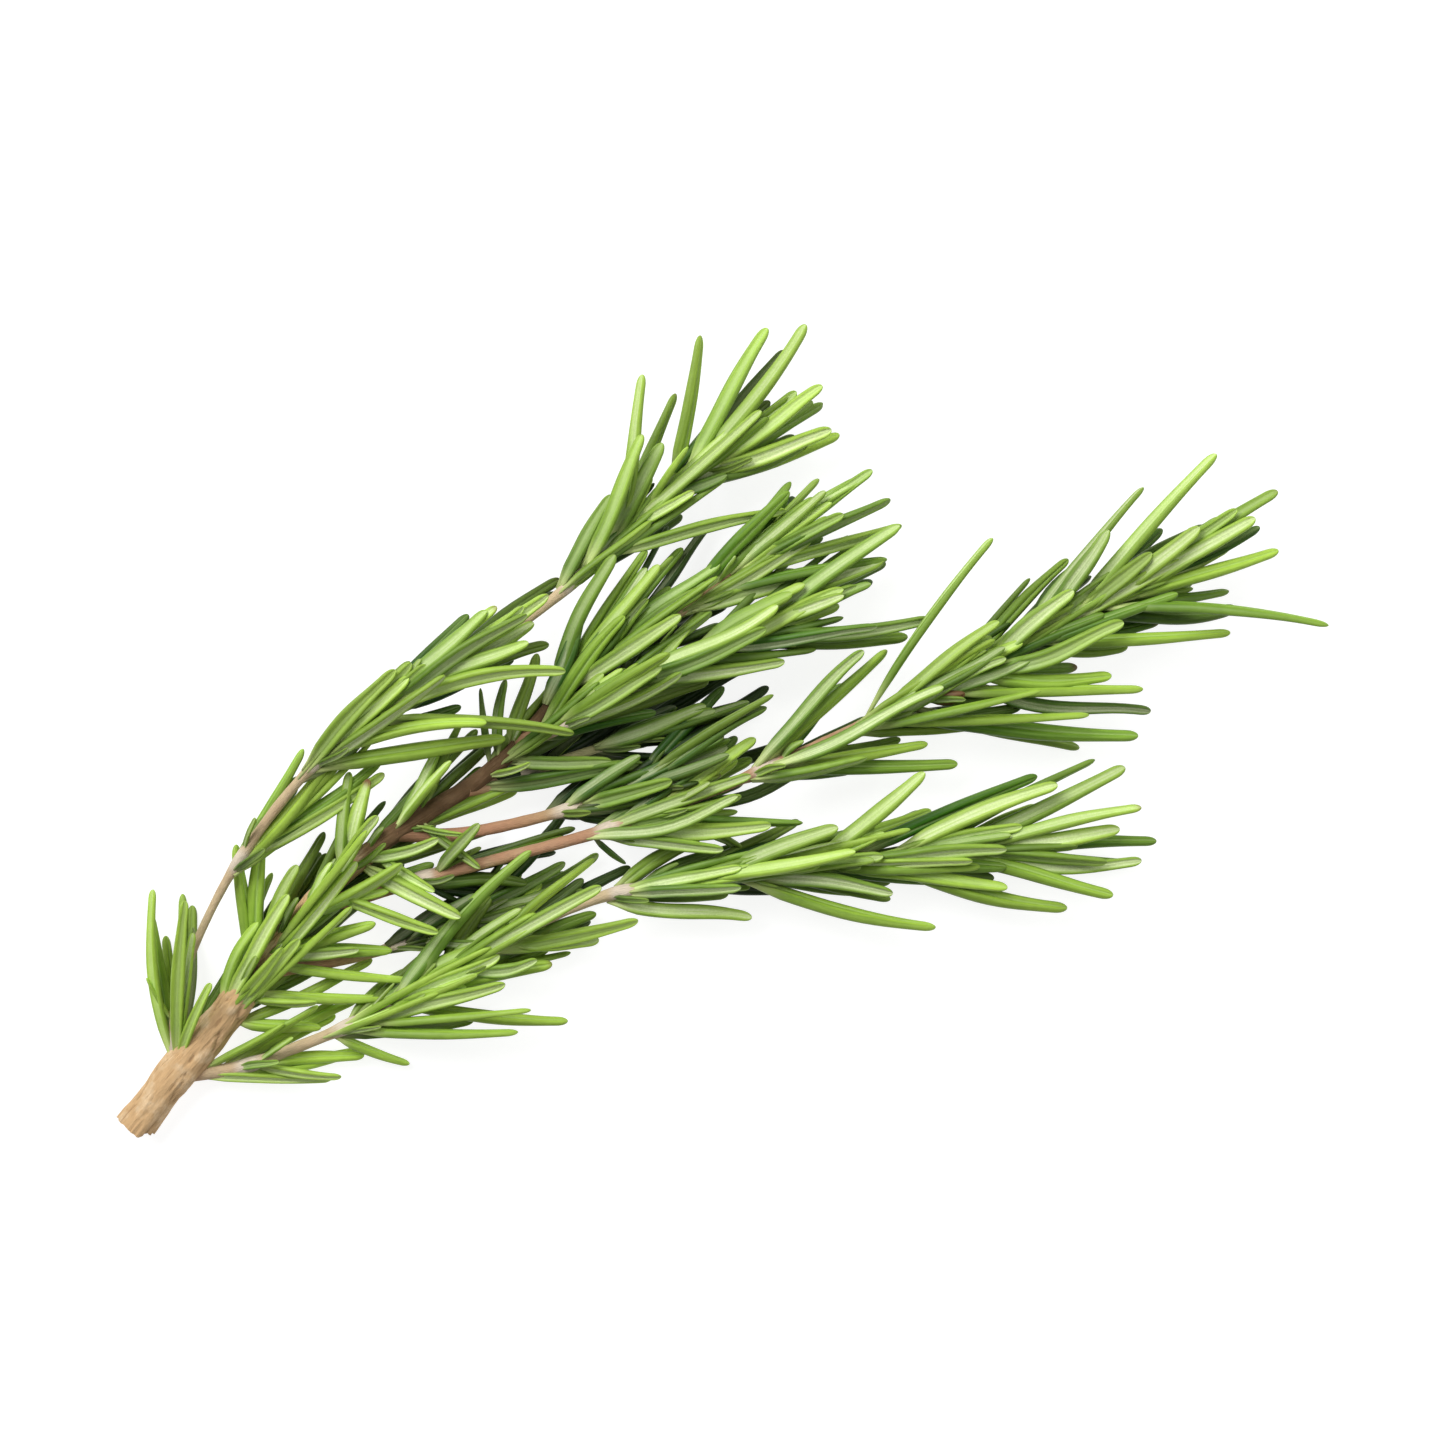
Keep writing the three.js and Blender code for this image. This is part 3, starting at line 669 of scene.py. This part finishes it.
class Cover:
    """The ground that the sprig hides from above, in square cells, and how high its top is over each."""

    CELL = 1.0 * MM
    REACH = 1  # cells either side of a line that a leaf hides
    # Painted shade: the deeper a leaf lies under the top, the darker its colour is painted.
    DEEP = 7 * MM  # a leaf this far under the top is in deep shade

    def __init__(self):
        self.top = {}

    def cell(self, point):
        return int(point[0] // self.CELL), int(point[1] // self.CELL)

    def add(self, points):
        """Marks the cells under a line of points, and their neighbours."""
        spread = range(-self.REACH, self.REACH + 1)
        for point in points:
            x, y = self.cell(point)
            for near in ((x + i, y + j) for i in spread for j in spread):
                self.top[near] = max(self.top.get(near, 0.0), point[2])

    def share(self, points):
        """How much of a line of points lies over hidden ground."""
        return np.mean([self.cell(point) in self.top for point in points])

    def light(self, leaf):
        """1 for a leaf on top of the sprig, down to -1 for one deep under it: the painted light or shade in
        its colour.
        """
        points = [leaf.at(share) for share in np.linspace(0.25, 0.95, 9)]
        depth = np.mean([max(self.top.get(self.cell(point), 0.0) - point[2], 0.0) for point in points])
        return 1 - 2 * min(depth / self.DEEP, 1.0)


def from_cut(leaf):
    """How far a leaf's base is from the cut end."""
    return np.linalg.norm(leaf.base - STEMS[LEADER].points[0])


def sprout(stem, at, turn, lean, reach, arch):
    """A leaf from a stem, and the way out from the stem there; turn is how far round from straight up."""
    along = stem.directions[at]
    outward = turned(square_to(UP, along), along, turn)
    base = stem.points[at] + outward * stem.radii[at] * 0.5
    tip = base + (along * math.cos(lean) + outward * math.sin(lean)) * reach
    tip[2] = min(max(tip[2], REST), CEILING)
    control = (base + tip) / 2 + outward * reach * arch
    control[2] = min(max(control[2], REST), CEILING)
    return Leaf(base, control, tip), outward


def add_tuft(skin, stem, start, end, count, longest, lean, tones, dice, width):
    """Young leaves that lean out from a stretch of a stem."""
    for i in range(count):
        at = int(start + (end - start) * (i + dice.random()) / count)
        at = min(max(at, 0), len(stem.points) - 1)
        turn = 2 * math.pi * (i * 0.382 + dice.random() * 0.2)
        angle = math.radians(dice.uniform(*lean))
        length = longest * dice.uniform(0.5, 1.0)
        young, outward = sprout(stem, at, turn, angle, length, dice.uniform(0.02, 0.12))
        add_leaf(skin, young, -outward, width * dice.uniform(0.34, 0.54), tones.young(), dice, 15)


TRIES = 8


def add_fill(skin, stem, start, end, count, style, tones, dice, width, cover):
    """Full-grown leaves over or behind a stretch of a stem, where the sprig hides the table already.

    A leaf that would cover too much bare table is drawn again, and left out after the last of its tries.
    """
    turn, spread, lean, reach, hidden = style
    for _ in range(count):
        for _ in range(TRIES):
            at = min(max(int(dice.uniform(start, end)), 0), len(stem.points) - 1)
            leaf, outward = sprout(
                stem,
                at,
                math.radians(turn + dice.uniform(-spread, spread)),
                math.radians(dice.uniform(*lean)),
                dice.uniform(*reach),
                dice.uniform(0.0, 0.06),
            )
            line = [leaf.at(share) for share in np.linspace(0.3, 1.0, 12)]
            if cover.share(line) >= hidden:
                face = turned(-outward, leaf.direction(0.5), math.radians(dice.gauss(0, 45)))
                tone = tones.grown(cover.light(leaf), from_cut(leaf))
                add_leaf(skin, leaf, face, width * dice.uniform(0.78, 0.98), tone, dice, 17)
                break


# ---------------------------------------------------------------------------------------- operators

STEMS = {}
WHORLS = defaultdict(list)


def read_frame():
    """Reads every stem's line and every whorl's leaves once."""
    if STEMS:
        return
    STEMS[LEADER] = Stem(LEADER + "_stem")
    for name in STEM_NODES:
        shoot = name[: -len("_stem")]
        if shoot != LEADER:
            STEMS[shoot] = Stem(name, STEMS[LEADER])
    for name in WHORL_NODES:
        WHORLS[name] = read_leaves(name)


def shoot_of(whorl):
    """The shoot that a whorl sits on."""
    return whorl.rsplit("_leaves_", 1)[0]


def siblings(whorl):
    """The whorls of one shoot that have leaves."""
    return [name for name in WHORL_NODES if shoot_of(name) == shoot_of(whorl) and WHORLS[name]]


def whorl_foot(whorl):
    """The index along its stem of the middle of a whorl's foot."""
    stem = STEMS[shoot_of(whorl)]
    return int(np.mean([stem.nearest(leaf.base) for leaf in WHORLS[whorl]]))


def node_share(stem, shoot):
    """How close each point of a stem is to the foot of a whorl, from 0 to 1."""
    share = np.zeros(len(stem.points))
    for name, leaves in WHORLS.items():
        if shoot_of(name) != shoot or not leaves:
            continue
        feet = [stem.distances[stem.nearest(leaf.base)] for leaf in leaves]
        middle, spread = np.mean(feet), max(np.std(feet), 1.2 * MM)
        share = np.maximum(share, np.exp(-(((stem.distances - middle) / (1.3 * spread)) ** 2)))
    return share


def stem_rings(stem, sides, radius):
    """Rings around a stem, with the cosine and sine of each point and the distance along in centimetres."""
    angles = 2 * np.pi * np.arange(sides) / sides
    rings = np.empty((len(stem.points), sides, 3))
    places = np.empty_like(rings)
    for i, (centre, along) in enumerate(zip(stem.points, stem.directions)):
        side = unit(np.cross(UP, along))
        top = np.cross(along, side)
        spokes = np.cos(angles)[:, None] * side + np.sin(angles)[:, None] * top
        rings[i] = centre + spokes * radius(i, angles)[:, None]
        places[i] = np.column_stack([np.cos(angles), np.sin(angles), np.full(sides, stem.distances[i] * 100)])
    return rings, places


class SPRIG_OT_leader(bpy.types.Operator):
    """Builds the leader: old furrowed wood that thins into a brown shoot, cut off at its thick end"""

    bl_idname = "sprig.leader"
    bl_label = "Leader"

    SIDES = 72
    OLD_WOOD = (34 * MM, 62 * MM)  # where the furrowed bark fades out
    BROWN = (44 * MM, 62 * MM, 88 * MM, 104 * MM)  # where the bark darkens and pales again

    def execute(self, context):
        read_frame()
        sizes = context.scene.sprig_sizes
        colours = context.scene.sprig_colours
        stem = STEMS[LEADER]
        old = 1 - smoothstep(*self.OLD_WOOD, stem.distances)
        nodes = node_share(stem, LEADER)
        low, dark, light, high = self.BROWN
        brown = smoothstep(low, dark, stem.distances) * (1 - 0.8 * smoothstep(light, high, stem.distances))
        relief = np.empty((len(stem.points), self.SIDES))

        def radius(i, angles):
            """The bark's radius around one ring: long furrows, broad lumps and loose flakes."""
            along = stem.distances[i] * 1000
            reach = stem.radii[i] * 1000
            for j, angle in enumerate(angles):
                y, z = math.cos(angle) * reach, math.sin(angle) * reach
                furrow = 1 - abs(noise.noise(Vector((along * 0.13, y * 1.15, z * 1.15)))) * 3.2
                flake = noise.noise(Vector((along * 0.5 + 40, y * 0.9, z * 0.9)))
                relief[i, j] = 1 - max(furrow, 0) ** 1.6 + 0.35 * flake
            around = [Vector((along * 0.11, math.cos(a), math.sin(a) + 9)) for a in angles]
            lump = np.array([noise.noise(place) for place in around])
            grain = (relief[i] - 0.6) * sizes.bark_relief * (0.3 + 0.7 * old[i])
            return stem.radii[i] * (1 + 0.09 * nodes[i] + 0.17 * lump * (0.35 + 0.65 * old[i])) + grain

        rings, places = stem_rings(stem, self.SIDES, radius)
        tones = np.empty_like(places)
        tones[..., 0] = relief
        tones[..., 1] = brown[:, None]
        tones[..., 2] = nodes[:, None]
        skin = Skin()
        rings[0] -= stem.directions[0] * self.notch()[:, None]
        skin.add(rings, None, 0, stem_place=places, stem_tone=tones)
        self.add_cut(skin, rings[0], stem)
        self.add_tip(skin, rings[-1], places[-1], tones[-1], stem)
        piece = skin.build("leader_wood", [bark_material(colours), cut_material(colours)])
        stand_for(piece, "leader_stem")
        return {"FINISHED"}

    def notch(self):
        """How far each point of the cut end stands out: one half was torn off longer than the other."""
        angles = 2 * np.pi * np.arange(self.SIDES) / self.SIDES
        step = smoothstep(-0.25, 0.25, np.cos(angles - 0.7))
        ragged = np.array([noise.noise(Vector((math.cos(a) * 4, math.sin(a) * 4, 3.0))) for a in angles])
        return (1.3 * step + 0.45 * ragged) * MM

    def add_cut(self, skin, rim, stem):
        """Closes the cut end with a rough wood face."""
        centre = rim.mean(axis=0)
        rings = []
        tones = []
        turns = np.arange(self.SIDES) / self.SIDES
        for share in (1.0, 0.96, 0.85, 0.7, 0.55, 0.4, 0.25, 0.1):
            ring = centre + (rim - centre) * share
            rough = np.array([noise.noise(Vector(point * 2600)) for point in ring])
            dish = 0.25 * MM * (1 - share)
            ring = ring + stem.directions[0] * (dish + rough * 0.16 * MM * (share < 1))[:, None]
            rings.append(ring)
            tones.append(np.column_stack([np.full(self.SIDES, share), turns, np.zeros(self.SIDES)]))
        rings = np.array(rings)[::-1]
        tones = np.array(tones)[::-1]
        skin.add(rings, (rings[0].mean(axis=0),), 1, stem_place=np.zeros_like(rings), stem_tone=tones)

    def add_tip(self, skin, rim, places, tones, stem):
        """Narrows the thin end."""
        centre = stem.points[-1] + stem.directions[-1] * stem.radii[-1]
        rings = np.array([rim, centre + (rim - centre) * 0.6])
        layers = {"stem_place": np.array([places] * 2), "stem_tone": np.array([tones] * 2)}
        skin.add(rings, None, 0, **layers)


class SPRIG_OT_shoots(bpy.types.Operator):
    """Builds the side shoots: thin downy stems, swollen and pale at their nodes"""

    bl_idname = "sprig.shoots"
    bl_label = "Side shoots"

    SIDES = 28
    FLARE = 5 * MM  # how far a shoot's foot widens into the wood it grows from
    GREEN_TIP = 26 * MM  # length over which a shoot's tip turns green
    # How far a shoot's bark has reddened, and the value for the others.
    RED = {"middle_shoot": 0.38, "inner_shoot": 0.45, "low_shoot": 0.35, "right_shoot": 0.04}
    OTHER_RED = 0.08
    SEED = 31

    def execute(self, context):
        read_frame()
        material = shoot_material(context.scene.sprig_colours)
        dice = random.Random(self.SEED)
        for shoot, stem in STEMS.items():
            if shoot == LEADER:
                continue
            nodes = node_share(stem, shoot)
            left = stem.distances[-1] - stem.distances
            foot = np.exp(-stem.distances / self.FLARE)
            seed = dice.uniform(0, 50)

            def radius(i, angles):
                """The shoot's radius around one ring: a flared foot, ridges below each node, and a tip."""
                along = stem.distances[i] * 1000
                ridge = np.cos(2 * angles + along * 0.045 + seed)
                lump = noise.noise(Vector((along * 0.35, seed, 0)))
                swell = 1 + 0.55 * foot[i] + 0.32 * nodes[i] + 0.05 * ridge + 0.09 * lump
                return stem.radii[i] * swell * (0.45 + 0.55 * smoothstep(0, 3 * MM, left[i]))

            rings, places = stem_rings(stem, self.SIDES, radius)
            tones = np.empty_like(places)
            tones[..., 0] = nodes[:, None]
            tones[..., 1] = (self.RED.get(shoot, self.OTHER_RED) + 0.4 * foot)[:, None]
            tones[..., 2] = (0.65 * (1 - smoothstep(0, self.GREEN_TIP, left)))[:, None]
            skin = Skin()
            skin.add(rings, (stem.points[0], stem.points[-1]), stem_place=places, stem_tone=tones)
            piece = skin.build(shoot + "_bark", [material])
            stand_for(piece, shoot + "_stem")
        return {"FINISHED"}


class SPRIG_OT_leaves(bpy.types.Operator):
    """Builds the whorls: needle leaves with rolled margins, and tufts of young leaves in their axils"""

    bl_idname = "sprig.leaves"
    bl_label = "Leaf whorls"

    AXIL = (-2.0 * MM, 4.0 * MM)  # where a tuft grows, from the foot of the whorl
    FOOT = (-4.0 * MM, 3.0 * MM)  # where the other leaves grow
    AXIL_LEAN = (14, 34)  # range of a tuft leaf's lean from the stem, in degrees
    BUD_LEAN = (4, 20)  # the same for the bud at a shoot's tip
    BUD_POINTS = 6  # the bud grows on this many of the stem's last points
    SCALE_LENGTH = 6 * MM
    INTO_STEM = 0.55  # how far a leaf's base moves from its place in the frame to its stem's middle line
    SEED = 1000
    CLOSE = 13 * MM  # whorls nearer than this hide the stem between them
    LEADER_CLOSE = 22 * MM  # the same on the leader
    BRANCHING = 12 * MM  # leaves nearer to a side shoot's root than this start closer to it
    ROOT_PULL = 6  # they head for the point at their distance from the root divided by this
    # Turn from straight up and its spread in degrees, range of lean in degrees, range of length, and the
    # least share that must lie over what the sprig hides.
    NEAR = (0, 65, (4, 13), (15 * MM, 27 * MM), 0.66)
    FAR = (180, 75, (8, 32), (15 * MM, 26 * MM), 0.52)
    SLIM = {"left_shoot_leaves_1": 0.76, "right_shoot_leaves_1": 0.8}  # whorls with narrow leaves
    # Whorls that hold a dried scale, with its turn from straight up and its lean, both in degrees.
    DRIED = {"middle_shoot_leaves_6": (50, 24)}
    # Painted light or shade that a whorl's leaves get beyond what their depth gives; the shoots in the middle
    # are painted darker, as they lie in shade.
    PAINTED_LIGHT = {
        "right_shoot_leaves_1": 0.7,
        "left_shoot_leaves_1": 0.4,
        "middle_shoot_leaves_1": -0.9,
        "middle_shoot_leaves_2": -0.3,
        "inner_shoot_leaves_1": -0.9,
        "inner_shoot_leaves_2": -0.9,
        "under_shoot_leaves_1": -0.8,
        "under_shoot_leaves_2": -0.8,
        "low_shoot_leaves_1": -0.5,
        "low_shoot_leaves_2": -0.5,
    }
    # Stretches of a stem that no leaf is laid over, by distance from the root.
    BARE = {LEADER: (43 * MM, 66 * MM)}

    def execute(self, context):
        read_frame()
        sizes = context.scene.sprig_sizes
        material = leaf_material(context.scene.sprig_colours)
        # The cover gives each leaf's depth under the top of the sprig, which sets the painted light or shade
        # in its colour.
        cover = Cover()
        for stem in STEMS.values():
            cover.add(stem.points)
        for leaves in WHORLS.values():
            for leaf in leaves:
                cover.add([leaf.at(share) for share in np.linspace(0, 1, 40)])
        for number, name in enumerate(WHORL_NODES):
            dice = random.Random(self.SEED + number)
            tones = Tones(dice, self.PAINTED_LIGHT.get(name, 0.0))
            stem = STEMS[shoot_of(name)]
            skin = Skin()
            middle = whorl_foot(name)
            middles = [whorl_foot(other) for other in siblings(name)]
            room = min([other - middle for other in middles if other > middle] or [0])
            close = self.LEADER_CLOSE if shoot_of(name) == LEADER else self.CLOSE
            bare, shown = self.BARE.get(shoot_of(name), (0, 0))
            hidden = room * Stem.STEP < close and not bare < stem.distances[middle] < shown
            near = sizes.near_count if hidden else 0
            for leaf in WHORLS[name]:
                face = upper_face(leaf, stem, dice)
                at = stem.nearest(leaf.base)
                leaf.base = leaf.base + (stem.points[at] - leaf.base) * self.INTO_STEM
                if stem.distances[at] < self.BRANCHING and shoot_of(name) != LEADER:
                    nearer = stem.points[at // self.ROOT_PULL]
                    leaf.base = leaf.base + (nearer - leaf.base) * dice.uniform(0.75, 1.0)
                width = sizes.leaf_width * dice.uniform(0.84, 1.10)
                width = width * min(1.0, leaf.length / FULL_GROWN) ** 0.9
                width *= self.SLIM.get(name, 1.0)
                add_leaf(skin, leaf, face, width, tones.grown(cover.light(leaf), from_cut(leaf)), dice)
            axil = (np.array(self.AXIL) / Stem.STEP + middle).astype(int)
            foot = (np.array(self.FOOT) / Stem.STEP + middle).astype(int)
            add_fill(skin, stem, *foot, near, self.NEAR, tones, dice, sizes.leaf_width, cover)
            add_fill(skin, stem, *foot, sizes.far_count, self.FAR, tones, dice, sizes.leaf_width, cover)
            young = (sizes.tuft_leaf_length, self.AXIL_LEAN, tones, dice, sizes.leaf_width)
            add_tuft(skin, stem, *axil, sizes.tuft_count, *young)
            if name in self.DRIED:
                turn, lean = (math.radians(angle) for angle in self.DRIED[name])
                scale, outward = sprout(stem, middle, turn, lean, self.SCALE_LENGTH, 0.1)
                add_leaf(skin, scale, outward, sizes.leaf_width, (0.5, 1.0, 1.0), dice, 15)
            if not room:
                tip = len(stem.points) - 1
                young = (sizes.tuft_leaf_length, self.BUD_LEAN, tones, dice, sizes.leaf_width)
                add_tuft(skin, stem, tip - self.BUD_POINTS, tip, sizes.bud_count, *young)
            piece = skin.build(name + "_needles", [material])
            stand_for(piece, name)
        return {"FINISHED"}


class SPRIG_OT_stage(bpy.types.Operator):
    """Builds the plain table, the soft light and the camera that looks straight down"""

    bl_idname = "sprig.stage"
    bl_label = "Stage"

    VIEW_WIDTH = 216.75 * MM
    ROLL = -30.0  # degrees, so that the sprig points up and to the right
    AIM = (8.9 * MM, 0.05 * MM)  # where the camera looks, from the middle of the footprint
    MID_HEIGHT = 10 * MM  # the height at which the view is that wide
    LENS = 100.0  # millimetres, as is the sensor's width
    SENSOR = 36.0
    GLOW = 0.86  # the table is lit from below too, as a light table is
    TABLE_HALF = 3.0
    # Each lamp's place across and up the camera's view and above the table, its size, and its power in watts.
    KEY = ((-0.5, 0.62, 0.9), 0.8, 17.5)
    FILL = ((0.7, 0.2, 0.8), 1.0, 5.0)
    SKY = 0.14  # strength of the even white light from all round

    def execute(self, context):
        scene = context.scene
        self.table(scene.sprig_colours.table)
        distance = self.VIEW_WIDTH * self.LENS / self.SENSOR
        camera = bpy.data.objects.new("camera", bpy.data.cameras.new("camera"))
        camera.data.lens = self.LENS
        camera.data.sensor_width = self.SENSOR
        camera.data.clip_start = 0.01
        camera.location = (*self.AIM, distance + self.MID_HEIGHT)
        camera.rotation_euler = (0, 0, math.radians(self.ROLL))
        scene.collection.objects.link(camera)
        scene.camera = camera
        self.lamp("key", *self.KEY)
        self.lamp("fill", *self.FILL)
        world = bpy.data.worlds.new("studio")
        world.use_nodes = True
        sky = world.node_tree.nodes["Background"].inputs
        sky["Color"].default_value = (1, 1, 1, 1)
        sky["Strength"].default_value = self.SKY
        scene.world = world
        scene.view_settings.view_transform = "Standard"
        return {"FINISHED"}

    def table(self, shade):
        """The wide pale surface that the sprig rests on, with a faint grain."""
        mesh = bpy.data.meshes.new("table")
        half = self.TABLE_HALF
        corners = [(-half, -half, 0), (half, -half, 0), (half, half, 0), (-half, half, 0)]
        mesh.from_pydata(corners, [], [(0, 1, 2, 3)])
        shader = Shader("pale table")
        speckle = shader.noise(shader.position(), 900.0, 2.0)
        base = shader.tint(shade, 0.985 + speckle * 0.03)
        glow = {"Emission_Color": (1, 1, 1, 1), "Emission_Strength": self.GLOW}
        mesh.materials.append(shader.finish(base, 0.9, speckle, 0.01 * MM, **glow))
        floor = bpy.data.objects.new("table", mesh)
        bpy.context.scene.collection.objects.link(floor)

    def lamp(self, name, place, size, power):
        """A square soft light at a place given across and up the camera's view, aimed at the sprig."""
        across, up, height = place
        cosine, sine = math.cos(math.radians(self.ROLL)), math.sin(math.radians(self.ROLL))
        data = bpy.data.lights.new(name, "AREA")
        data.size = size
        data.energy = power
        lamp = bpy.data.objects.new(name, data)
        lamp.location = (across * cosine - up * sine, across * sine + up * cosine, height)
        lamp.rotation_euler = (Vector((0, 0, 0)) - lamp.location).to_track_quat("-Z", "Y").to_euler()
        bpy.context.scene.collection.objects.link(lamp)


class SPRIG_PT_panel(bpy.types.Panel):
    """Lists the steps that build the sprig"""

    bl_label = "Rosemary sprig"
    bl_idname = "SPRIG_PT_panel"
    bl_space_type = "VIEW_3D"
    bl_region_type = "UI"
    bl_category = "Rosemary"

    def draw(self, context):
        for group in (context.scene.sprig_sizes, context.scene.sprig_colours):
            for name in group.__annotations__:
                self.layout.prop(group, name)
        for operator in OPERATORS:
            self.layout.operator(operator.bl_idname)


OPERATORS = (SPRIG_OT_leader, SPRIG_OT_shoots, SPRIG_OT_leaves, SPRIG_OT_stage)
CLASSES = (SprigSizes, SprigColours, *OPERATORS, SPRIG_PT_panel)


def register():
    """Registers the classes and hangs the settings on the scene."""
    for item in CLASSES:
        bpy.utils.register_class(item)
    bpy.types.Scene.sprig_sizes = PointerProperty(type=SprigSizes)
    bpy.types.Scene.sprig_colours = PointerProperty(type=SprigColours)


def unregister():
    """Takes back what register added."""
    del bpy.types.Scene.sprig_colours
    del bpy.types.Scene.sprig_sizes
    for item in reversed(CLASSES):
        bpy.utils.unregister_class(item)


def main():
    """Builds the sprig and its stage."""
    register()
    bpy.ops.sprig.leader()
    bpy.ops.sprig.shoots()
    bpy.ops.sprig.leaves()
    bpy.ops.sprig.stage()


if __name__ == "__main__":
    main()
